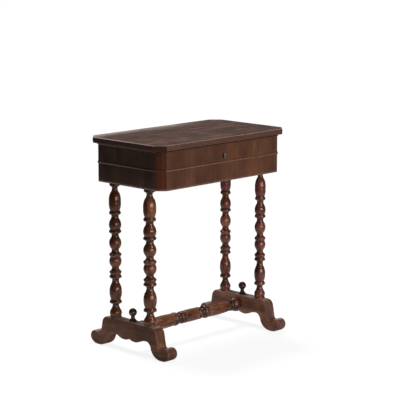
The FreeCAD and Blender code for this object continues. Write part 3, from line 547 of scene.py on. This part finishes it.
for corner, tones in leg_tones_with_painted_light.items():
    leg_finish = wood(
        "leg_finish_" + corner, 2, tones, turned_grime, gloss=(0.15, 0.25), polish=0.5,
        figure_rate=45, streak_rate=260, worn=leg_worn, fine=0.25, open_pores=0.3, tooth=0.06,
    )
    darken_necks(leg_finish)
    tree = leg_finish.node_tree
    # The heads are darkened under the case: grime and painted shadow.
    on_head_shadow_and_grime = stepped(tree, coordinates(tree, "Object")["Z"], *head_shadow_and_grime_reach, 0.0, 0.8)
    glazed(leg_finish, on_head_shadow_and_grime, neck_colour)
    low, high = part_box("leg_" + corner)
    radius = (high.x - low.x) / 2 / fattest_share
    path = [(low.z - foot, leg_tenon_radius), (0, leg_tenon_radius)]
    path += scaled(leg_shares, head - foot, radius)
    path += [(head - foot, leg_tenon_radius), (high.z - foot, leg_tenon_radius)]
    middle = ((low.x + high.x) / 2, (low.y + high.y) / 2, foot)
    leg = lathe_skin("leg_turning_" + corner, path, middle, 2)
    leg.data.materials.append(leg_finish)
    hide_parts("leg_" + corner)
    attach(leg, "stand")

# Case: four boards of walnut-brown veneer, the grain upright, between canted corner posts of redder wood.
# Boards and posts are glued edge to edge. Their arrises are eased and dark with polish, but along the foot
# the case is paler; the front's veneer is laid in strips.
board_ease = 0.0008
front_tones = ((0.056, 0.0188, 0.0096), (0.073, 0.0258, 0.0128), (0.092, 0.0347, 0.0172))
strips_a_metre = 19
strip_tint = (1.28, 1.26, 1.10)
right_painted_sheen = (1.24, 1.34, 1.38)
right_sheen_reach = (0.02, 0.26)
post_tones = ((0.034, 0.0076, 0.0030), (0.066, 0.0148, 0.0052), (0.106, 0.0265, 0.0085))
post_painted_shade = (0.30, 0.30, 0.34)
post_painted_shade_reach = (0.282, 0.304)
end_tones = ((0.036, 0.0176, 0.0132), (0.051, 0.0250, 0.0182), (0.067, 0.0340, 0.0248))
low_end_tint = (1.40, 1.34, 1.34)
low_end_height = 0.06
joint_tones = ((0.018, 0.0080, 0.0050), (0.032, 0.0130, 0.0080), (0.050, 0.0210, 0.0130))
front_foot = (0.150, 0.095, 0.076)
end_foot = (0.270, 0.205, 0.185)
case_grime = (0.013, 0.008, 0.006)
foot_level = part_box("case_front")[0].z
arris_pale_reach = (foot_level + 0.001, foot_level + 0.004)
board_pale_reach = (foot_level + 0.002, foot_level + 0.0085)


def merged(node):
    """A CAD piece's triangles as one mesh: equal corners made one, flat neighbours made whole faces."""
    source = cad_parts[node].data
    source.calc_loop_triangles()
    spots = np.empty(len(source.vertices) * 3)
    source.vertices.foreach_get("co", spots)
    corners = np.empty(len(source.loop_triangles) * 3, int)
    source.loop_triangles.foreach_get("vertices", corners)
    grid = np.round(spots.reshape(-1, 3), 7)
    unique, place = np.unique(grid, axis=0, return_inverse=True)
    mesh = bpy.data.meshes.new(node + "_merged")
    mesh.from_pydata(unique.tolist(), [], place.ravel()[corners].reshape(-1, 3).tolist())
    shape = bmesh.new()
    shape.from_mesh(mesh)
    bmesh.ops.dissolve_limit(shape, angle_limit=math.radians(0.5), verts=shape.verts, edges=shape.edges)
    shape.to_mesh(mesh)
    shape.free()
    smoothed(mesh, sharp_degrees=30)
    return mesh


def eased(node, body, finish, ease, arris):
    """A CAD piece with its edges rounded over a width; the rounding has a finish of its own."""
    item = placed(node + "_eased", merged(node))
    item.data.materials.append(finish)
    item.data.materials.append(arris)
    rounding = item.modifiers.new("rounding", "BEVEL")
    rounding.width = ease
    rounding.segments = 3
    rounding.limit_method = "ANGLE"
    rounding.angle_limit = math.radians(30)
    rounding.material = 1
    rounding.harden_normals = True
    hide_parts(node)
    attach(item, body)


front_finish = wood(
    "front_finish", 2, front_tones, case_grime, gloss=(0.36, 0.52), polish=0.30,
    figure_rate=16, streak_rate=130, drawn_out=20, clouds=(0.84, 1.14), fine=0.3, open_pores=0.35,
)
tree = front_finish.node_tree
across = coordinates(tree, "Object")["X"]
strips = shader_node(tree, "TexVoronoi", {"W": across, "Scale": strips_a_metre}, voronoi_dimensions="1D")
strip = shader_node(tree, "SeparateColor", {0: strips.outputs["Color"]}).outputs[0]
glazed(front_finish, product(tree, strip, 0.5), strip_tint, "MULTIPLY")
# Towards the right end the front is lightened and greyed: painted sheen.
glazed(front_finish, stepped(tree, across, *right_sheen_reach, 0.0, 0.7), right_painted_sheen, "MULTIPLY")
post_finish = wood(
    "post_finish", 2, post_tones, case_grime, gloss=(0.34, 0.50), polish=0.14,
    figure_rate=70, streak_rate=240, drawn_out=60, clouds=(0.90, 1.12), fine=0.35,
)
# Each post darkens towards the end board it meets: painted shade.
tree = post_finish.node_tree
off_middle = sums(tree, "ABSOLUTE", coordinates(tree, "Object")["X"])
glazed(post_finish, stepped(tree, off_middle, *post_painted_shade_reach, 0.0, 0.95), post_painted_shade, "MULTIPLY")
end_finish = wood(
    "end_finish", 2, end_tones, case_grime, gloss=(0.40, 0.50), polish=0.30,
    figure_rate=24, streak_rate=130, clouds=(0.76, 1.20), open_pores=0.3,
)
arris_finish = wood(
    "arris_finish", 2, joint_tones, case_grime, gloss=(0.40, 0.60), polish=0.4,
    figure_rate=90, streak_rate=200,
)
tree = arris_finish.node_tree
glazed(arris_finish, stepped(tree, coordinates(tree, "Object")["Z"], *arris_pale_reach, 0.9, 0.0), front_foot)
for finish, colour in ((front_finish, front_foot), (post_finish, front_foot), (end_finish, end_foot)):
    tree = finish.node_tree
    at_foot = stepped(tree, coordinates(tree, "Object")["Z"], *board_pale_reach, 0.95, 0.0)
    patches = stepped(tree, grain(tree, 2, across_rate=60, along_rate=60, detail=5), 0.3, 0.65, 0.35, 1.0)
    glazed(finish, product(tree, at_foot, patches), colour)
tree = end_finish.node_tree
low_down = stepped(tree, coordinates(tree, "Object")["Z"], foot_level, foot_level + low_end_height, 1.0, 0.0)
glazed(end_finish, low_down, low_end_tint, "MULTIPLY")
eased("case_front", "stand", front_finish, board_ease, arris_finish)
for side in ("back", "left", "right"):
    eased("case_" + side, "stand", end_finish, board_ease, arris_finish)
for corner in ("front_left", "front_right", "back_left", "back_right"):
    eased("corner_" + corner, "stand", post_finish, board_ease, arris_finish)

# Beads: a half-round strip round the waist and another under the lid, mitred at the cants; the back has none.
# The crest has been rubbed pale. On the ends the lower strip is paler, more so towards the back, and the
# upper one, which is darkened by a painted shadow where it meets the lid, is paler along its lower lip.
bead_fullness = 2.6
bead_rows = 17
bead_root_relief = -0.9
bead_tones = {
    "waist_bead": ((0.050, 0.0220, 0.0140), (0.095, 0.0450, 0.0300), (0.140, 0.0740, 0.0510)),
    "rim_bead": ((0.030, 0.0120, 0.0075), (0.052, 0.0215, 0.0140), (0.080, 0.0360, 0.0250)),
}
bead_worn = {"waist_bead": (0.220, 0.128, 0.092), "rim_bead": (0.110, 0.0600, 0.0420)}
bead_polish = {"waist_bead": 0.4, "rim_bead": 0.14}
cant_shade = (0.40, 0.28, 0.23)
end_paling_colour = (0.330, 0.270, 0.250)
gap_shadow_colour = (0.012, 0.0055, 0.0040)
gap_shadow_depths = (0.0030, 0.0018)
lip_start = (0.0002, 0.0010)
lip_stop = (0.0018, 0.0028)
mitre_fade = 0.003
end_fade = 0.001
case_low, case_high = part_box("case_front")
half_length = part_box("case_right")[1].x
half_depth = -case_low.y
cant = half_length - case_high.x
bead_faces = ["front", "left", "right"] + [
    "corner_" + corner for corner in ("front_left", "front_right", "back_left", "back_right")
]
right_side = np.array([
    (half_length - cant, half_depth),
    (half_length, half_depth - cant),
    (half_length, cant - half_depth),
    (half_length - cant, -half_depth),
])
bead_line = np.vstack([right_side, right_side[::-1] * (-1, 1)])
run = np.diff(bead_line, axis=0)
run /= np.linalg.norm(run, axis=1, keepdims=True)
out = np.stack([-run[:, 1], run[:, 0]], axis=-1)
mitres = (out[:-1] + out[1:]) / (1 + np.sum(out[:-1] * out[1:], axis=1, keepdims=True))
mitres = np.vstack([out[:1] + run[:1], mitres, out[-1:] - run[-1:]])
for level, tones in bead_tones.items():
    low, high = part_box(level + "_front")
    bead_finish = wood(
        level + "_finish", 0, tones, case_grime, gloss=(0.34, 0.50), polish=bead_polish[level],
        figure_rate=40, streak_rate=300, worn=bead_worn[level],
    )
    tree = bead_finish.node_tree
    place = coordinates(tree, "Object")
    past_front = sums(tree, "SUBTRACT", sums(tree, "ABSOLUTE", place["X"]), half_length - cant)
    past_end = sums(tree, "SUBTRACT", sums(tree, "ABSOLUTE", place["Y"]), half_depth - cant)
    on_cant = product(
        tree, stepped(tree, past_front, 0.0, mitre_fade), stepped(tree, past_end, 0.0, mitre_fade),
    )
    glazed(bead_finish, on_cant, cant_shade, "MULTIPLY")
    on_end = stepped(tree, past_front, cant - end_fade, cant)
    if level == "waist_bead":
        # On the ends the lower strip is paler, more so towards the back.
        back_paling = stepped(tree, place["Y"], -0.13, 0.13, 0.0, 0.70)
        glazed(bead_finish, product(tree, on_end, back_paling), end_paling_colour)
    else:
        # The upper strip is darkened where it meets the lid: painted shadow of the gap.
        gap_shadow = stepped(tree, place["Z"], *(case_high.z - depth for depth in gap_shadow_depths))
        glazed(bead_finish, gap_shadow, gap_shadow_colour)
        lower_lip = band(tree, place["Z"], [low.z + up for up in lip_start], [low.z + up for up in lip_stop])
        lip_paling = stepped(tree, place["Y"], -0.14, 0.13, 0.2625, 0.75)
        glazed(bead_finish, product(tree, lower_lip, on_end, lip_paling), end_paling_colour)
    proud = case_low.y - low.y
    height = np.linspace(-1, 1, bead_rows)
    crest = (1 - np.abs(height) ** bead_fullness) ** (1 / bead_fullness)
    flat = bead_line[None] + (proud * crest)[:, None, None] * mitres[None]
    rise = (low.z + high.z) / 2 + (high.z - low.z) / 2 * height
    rise = np.broadcast_to(rise[:, None, None], flat.shape[:2] + (1,))
    grid = np.concatenate([flat, rise], axis=-1)
    relief = bead_root_relief + (1 - bead_root_relief) * crest
    bead = skin(level + "_strip", grid, relief[:, None], closed=False)
    bead.data.materials.append(bead_finish)
    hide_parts(*[f"{level}_{face}" for face in bead_faces])
    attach(bead, "stand")

# Inside of the case: floor, leg bearers and till runners of plain unpolished softwood, browned by age.
# The floor is glued between the boards, and a bearer over each pair of legs takes their tenons.
inner_ease = 0.0006
inner_tones = ((0.170, 0.090, 0.042), (0.290, 0.172, 0.088), (0.390, 0.250, 0.140))
inner_grime = (0.070, 0.040, 0.022)
inner_finish, cross_finish = (
    wood(
        name, along, inner_tones, inner_grime, gloss=(0.58, 0.74), polish=0.3,
        figure_rate=24, streak_rate=180,
    ) for name, along in (("inner_finish", 0), ("cross_finish", 1))
)
for node in ("case_floor", "runner_front", "runner_back"):
    eased(node, "stand", inner_finish, inner_ease, inner_finish)
for node in ("bearer_left", "bearer_right"):
    eased(node, "stand", cross_finish, inner_ease, cross_finish)

# Lock: a sheet-iron box let into the front board from inside, with its cover, bolt and screws.
# A small plate of brass, tarnished nearly black, with a painted highlight on its right, guards the keyhole
# outside.
# The strike on the lid is brass too.
iron_tones = ((0.018, 0.016, 0.015), (0.085, 0.078, 0.070))
brass_tones = ((0.060, 0.042, 0.022), (0.360, 0.250, 0.110))
plate_tones = ((0.028, 0.024, 0.022), (0.085, 0.075, 0.070))
plate_highlight = (0.420, 0.390, 0.370)
plate_margin = 0.001
metal_ease = 0.0002


def old_metal(name, tones, gloss):
    """Handled old metal: bright where it is rubbed, dark tarnish in clouds and specks, gloss to match."""
    pit_depth = 0.0002
    finish = blank_finish(name)
    tree = finish.node_tree
    clouds = grain(tree, 2, across_rate=130, along_rate=130, detail=5)
    specks = grain(tree, 2, across_rate=900, along_rate=900, detail=3)
    bright = stepped(tree, sums(tree, "ADD", clouds, product(tree, specks, 0.5)), 0.55, 0.95)
    bump = shader_node(tree, "Bump", {"Strength": 0.2, "Distance": pit_depth, "Height": specks})
    surface = shader_node(tree, "BsdfPrincipled", {
        "Base Color": tint(tree, bright, *tones),
        "Roughness": stepped(tree, bright, 0.0, 1.0, *gloss),
        "Normal": bump.outputs["Normal"],
        "Metallic": 1.0,
    }, name="surface")
    shader_node(tree, "OutputMaterial", {"Surface": surface.outputs["BSDF"]})
    return finish


iron_finish = old_metal("iron_finish", iron_tones, (0.62, 0.40))
brass_finish = old_metal("brass_finish", brass_tones, (0.55, 0.30))
plate_finish = old_metal("plate_finish", plate_tones, (0.62, 0.44))
low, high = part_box("escutcheon")
right_half = ((low.x + high.x) / 2 + plate_margin, high.x - plate_margin)
tree = plate_finish.node_tree
# The plate's right half is paled: painted highlight.
glazed(plate_finish, stepped(tree, coordinates(tree, "Object")["X"], *right_half, 0.0, 0.8), plate_highlight)
for node in ("lock_case", "lock_cover", "lock_screws"):
    eased(node, "stand", iron_finish, metal_ease, iron_finish)
eased("lock_bolt", "bolt", iron_finish, metal_ease, iron_finish)
eased("escutcheon", "stand", plate_finish, metal_ease, plate_finish)
eased("strike_plate", "lid", brass_finish, metal_ease, brass_finish)
eased("strike_screws", "lid", iron_finish, metal_ease, iron_finish)

# Till: a shallow tray of the same plain wood with two dividers, which slides along the runners.
# Its walls are butted and glued, and the floor is let in between them.
for node in ("till_floor", "till_front", "till_back"):
    eased(node, "till", inner_finish, inner_ease, inner_finish)
for node in ("till_left", "till_right", "till_divider_left", "till_divider_right"):
    eased(node, "till", cross_finish, inner_ease, cross_finish)

# Hinges: two brass butts, leaves let into the back board and the lid and held by iron screws.
# The knuckles stand behind the case, under the lid's overhang.
for hand in ("left", "right"):
    eased(f"hinge_{hand}_case_leaf", "stand", brass_finish, metal_ease, brass_finish)
    eased(f"hinge_{hand}_pin", "stand", brass_finish, metal_ease, brass_finish)
    eased(f"hinge_{hand}_lid_leaf", "lid", brass_finish, metal_ease, brass_finish)
eased("hinge_case_screws", "stand", iron_finish, metal_ease, iron_finish)
eased("hinge_lid_screws", "lid", iron_finish, metal_ease, iron_finish)

# Lid: one wide board with canted corners, the grain along it, its polish dulled, scuffed and streaked by use.
# The upper arris is paled by wear and by a painted highlight, most of all at the ends, and a bloom lies
# along the left of the back edge.
# The edge turns in below, over the rim bead, where a painted shadow darkens it.
lid_cant = 0.034
lid_top_round = 0.0026
lid_under_round = 0.006
lid_step = 0.002
lid_corner_wear = 0.0009
lid_rub = 0.004
leaf_show = 0.00025
arris_relief = 0.75
under_relief = 0.25
lid_tones = ((0.022, 0.0076, 0.0060), (0.073, 0.0262, 0.0168), (0.152, 0.0648, 0.0428))
lid_worn_and_highlight = (0.400, 0.280, 0.215)
scuff_colour = (0.310, 0.205, 0.175)
end_arris_pale_and_highlight = (0.460, 0.385, 0.360)
bloom_colour = (0.440, 0.335, 0.305)
edge_colour = (0.076, 0.0332, 0.0222)
end_shade = (0.78, 0.80, 0.84)
cant_colour = (0.022, 0.0095, 0.0060)
under_colour = (0.088, 0.036, 0.022)
under_turn = (-0.9, -0.6)
edge_turn = (0.2, 0.7)
cant_turn = (0.25, 0.42)
lid_finish = wood(
    "lid_finish", 0, lid_tones, case_grime, gloss=(0.46, 0.58), polish=0.32,
    figure_rate=24, streak_rate=150, worn=lid_worn_and_highlight, clouds=(0.60, 1.38), tooth=0.2,
)
tree = lid_finish.node_tree
low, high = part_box("lid_board")
place = coordinates(tree, "Object")
facing = coordinates(tree, "Normal")
upward = facing["Z"]
on_cant = sums(tree, "ABSOLUTE", product(tree, facing["X"], facing["Y"]))
broad_streaks = product(tree, grain(tree, 0, across_rate=34, along_rate=6, detail=4), 0.6)
fine_streaks = product(tree, grain(tree, 0, across_rate=120, along_rate=9, detail=3), 0.4)
lid_polish = product(
    tree, stepped(tree, sums(tree, "ADD", broad_streaks, fine_streaks), 0.38, 0.64, 0.22, 0.42),
    stepped(tree, upward, *under_turn, 0.12, 1.0), stepped(tree, on_cant, *cant_turn, 1.0, 0.3),
)
tree.links.new(lid_polish, tree.nodes["surface"].inputs["Specular IOR Level"])
scuffs = stepped(tree, grain(tree, 0, across_rate=75, along_rate=15, detail=6), 0.48, 0.80, 0.0, 0.55)
glazed(lid_finish, product(tree, scuffs, stepped(tree, upward, 0.8, 0.95)), scuff_colour)
glazed(lid_finish, stepped(tree, upward, *under_turn, 0.7, 0.0), under_colour)
glazed(lid_finish, band(tree, upward, under_turn, edge_turn, 0.8), edge_colour)
on_end = stepped(tree, sums(tree, "ABSOLUTE", facing["X"]), 0.85, 0.97)
glazed(lid_finish, on_end, end_shade, "MULTIPLY")
glazed(lid_finish, stepped(tree, on_cant, *cant_turn, 0.0, 0.85), cant_colour)
# At the ends the upper arris is paled further: wear and painted highlight.
past_end = sums(tree, "SUBTRACT", sums(tree, "ABSOLUTE", place["X"]), high.x)
end_arris_paling = product(
    tree, stepped(tree, past_end, -0.0080, -0.0045, 0.0, 0.8), stepped(tree, upward, 0.2, 0.6),
    stepped(tree, place["Y"], -0.15, 0.08, 0.35, 1.0),
)
glazed(lid_finish, end_arris_paling, end_arris_pale_and_highlight)
# A dark line along the foot of the lid's edge: painted shadow of the gap over the rim bead.
past_under = sums(tree, "SUBTRACT", place["Z"], low.z)
glazed(lid_finish, band(tree, past_under, (0.0004, 0.0008), (0.0014, 0.0024), 0.9), cant_colour)
bloom = product(
    tree, stepped(tree, place["Y"], 0.108, 0.175), stepped(tree, place["X"], 0.02, 0.24, 1.0, 0.0),
    stepped(tree, grain(tree, 0, across_rate=30, along_rate=9, detail=4), 0.3, 0.6, 0.5, 1.0),
    stepped(tree, upward, 0.5, 0.9),
)
glazed(lid_finish, bloom, bloom_colour)
right_side = np.array([
    (high.x - lid_cant, low.y),
    (high.x, low.y + lid_cant),
    (high.x, high.y - lid_cant),
    (high.x - lid_cant, high.y),
])
octagon = np.vstack([right_side, right_side[::-1] * (-1, 1)])
lid_line = rubbed(octagon, lid_step, lid_corner_wear, closed=True)
under = lid_under_round * (1 - np.cos(quarter_turn))
over = lid_top_round * (1 - np.cos(quarter_turn))
levels = np.concatenate([np.maximum(low.z + under, low.z + leaf_show), (high.z - over)[::-1], [high.z]])
insets = np.concatenate([
    lid_under_round * (1 - np.sin(quarter_turn)),
    lid_top_round * (1 - np.sin(quarter_turn))[::-1],
    [lid_top_round + lid_rub],
])
edge = np.sin(2 * quarter_turn)
arris = np.where(quarter_turn < math.pi / 4, arris_relief + (1 - arris_relief) * edge, edge)
relief = np.concatenate([under_relief * edge, arris[::-1], [0]])
lid = board_skin("lid_top", lid_line, levels, insets, relief, 2)
lid.data.materials.append(lid_finish)
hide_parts("lid_board")
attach(lid, "lid")

# Floor: a plain pale studio floor under the whole view, which takes the table's faint shadows.
# The camera sees it white. Only a pool of it round the table throws light back, and beyond the pool the
# polish mirrors a faint glow, stronger in front to the right than behind to the left.
floor_reach = 60
floor_seen = 0.86
floor_shade = (0.22, 0.22, 0.22)
floor_near = (0.80, 0.80, 0.80)
floor_far = (0.05, 0.05, 0.05)
pool_edges = (0.5, 2.2)
toward_front_right = (0.7, -0.7, 0)
right_glow = 0.16
left_glow = 0.07


def reach_along(tree, vector, direction):
    """How far a vector goes in a direction: the sum of the products of their X, Y and Z."""
    item = shader_node(tree, "VectorMath", {0: vector, 1: direction}, operation="DOT_PRODUCT")
    return item.outputs["Value"]


floor_mesh = bpy.data.meshes.new("floor")
floor_corners = [(x * floor_reach, y * floor_reach, 0) for x, y in ((-1, -1), (1, -1), (1, 1), (-1, 1))]
floor_mesh.from_pydata(floor_corners, [], [(0, 1, 2, 3)])
floor = placed("floor", floor_mesh)
floor_paint = blank_finish("floor_paint")
tree = floor_paint.node_tree
ray = shader_node(tree, "LightPath", {}).outputs
spot = shader_node(tree, "TexCoord", {}).outputs["Object"]
across = reach_along(tree, spot, toward_front_right)
side_glow = sums(
    tree, "ADD", stepped(tree, across, 0.5, 2.5, 0.0, right_glow),
    stepped(tree, across, -2.5, -0.5, left_glow, 0.0),
)
distance = shader_node(tree, "VectorMath", {0: spot}, operation="LENGTH").outputs["Value"]
beyond = stepped(tree, distance, *pool_edges)
mirrored_rays = sums(tree, "MAXIMUM", ray["Is Glossy Ray"], ray["Is Transmission Ray"])
seen_glow = product(tree, ray["Is Camera Ray"], floor_seen)
glow = sums(tree, "ADD", seen_glow, product(tree, mirrored_rays, beyond, side_glow))
lit = tint(tree, beyond, floor_near, floor_far)
matt = shader_node(tree, "BsdfDiffuse", {"Color": tint(tree, ray["Is Camera Ray"], lit, floor_shade)})
shine = shader_node(tree, "Emission", {"Strength": glow})
both = shader_node(tree, "AddShader", {0: matt.outputs["BSDF"], 1: shine.outputs["Emission"]})
shader_node(tree, "OutputMaterial", {"Surface": both.outputs["Shader"]})
floor_mesh.materials.append(floor_paint)

# Light: a soft key from high behind, a round soft box in front above the lid, and a long low one in front.
# The room is dim, but brighter behind to the right, where the lid's dull polish mirrors it. The camera sees
# it white.
room_glow = (0.04, 0.216)
toward_back_right = (0.7, 0.7, 0.1)


def lamp(name, kind, energy, place, aim, **fields):
    """A lamp at a place that shines towards the aim; fields give its shape and size."""
    light = bpy.data.lights.new(name, kind)
    light.energy = energy
    for field, value in fields.items():
        setattr(light, field, value)
    item = placed(name, light)
    item.location = place
    item.rotation_euler = (Vector(place) - Vector(aim)).to_track_quat("Z", "Y").to_euler()


lamp("key", "SUN", energy=2.2, place=(0.07, 0.45, 1), aim=(0, 0, 0), angle=math.radians(20))
lamp("front_box", "AREA", energy=42, place=(0.15, -3.2, 3.0), aim=(0, 0, 0.4), shape="DISK", size=0.9)
lamp(
    "low_box", "AREA", energy=80, place=(-0.6, -3.4, 0.75), aim=(0, 0, 0.35),
    shape="RECTANGLE", size=3.2, size_y=1.0,
)
world = bpy.data.worlds.new("room")
bpy.context.scene.world = world
world.use_nodes = True
tree = world.node_tree
tree.nodes.clear()
toward = shader_node(tree, "TexCoord", {}).outputs["Generated"]
dim = stepped(tree, reach_along(tree, toward, toward_back_right), 0.2, 1.0, *room_glow)
seen = shader_node(tree, "LightPath", {}).outputs["Is Camera Ray"]
room = shader_node(tree, "Background", {"Color": (1, 1, 1, 1), "Strength": sums(tree, "MAXIMUM", seen, dim)})
shader_node(tree, "OutputWorld", {"Surface": room.outputs["Background"]})

# Camera: the photograph's viewpoint, to the left of the front and a little above the lid, with a long lens.
# Its place, turn and lens were fitted to the corners of lid and case and to the legs.
lens = bpy.data.cameras.new("camera")
lens.sensor_width = 36
lens.lens = 144.901
lens.clip_end = 200
camera = placed("camera", lens)
camera.location = (-3.954, -3.918, 1.519)
camera.rotation_euler = (math.radians(79.58), 0, math.radians(-45.649))
bpy.context.scene.camera = camera
bpy.context.scene.view_settings.view_transform = "Standard"
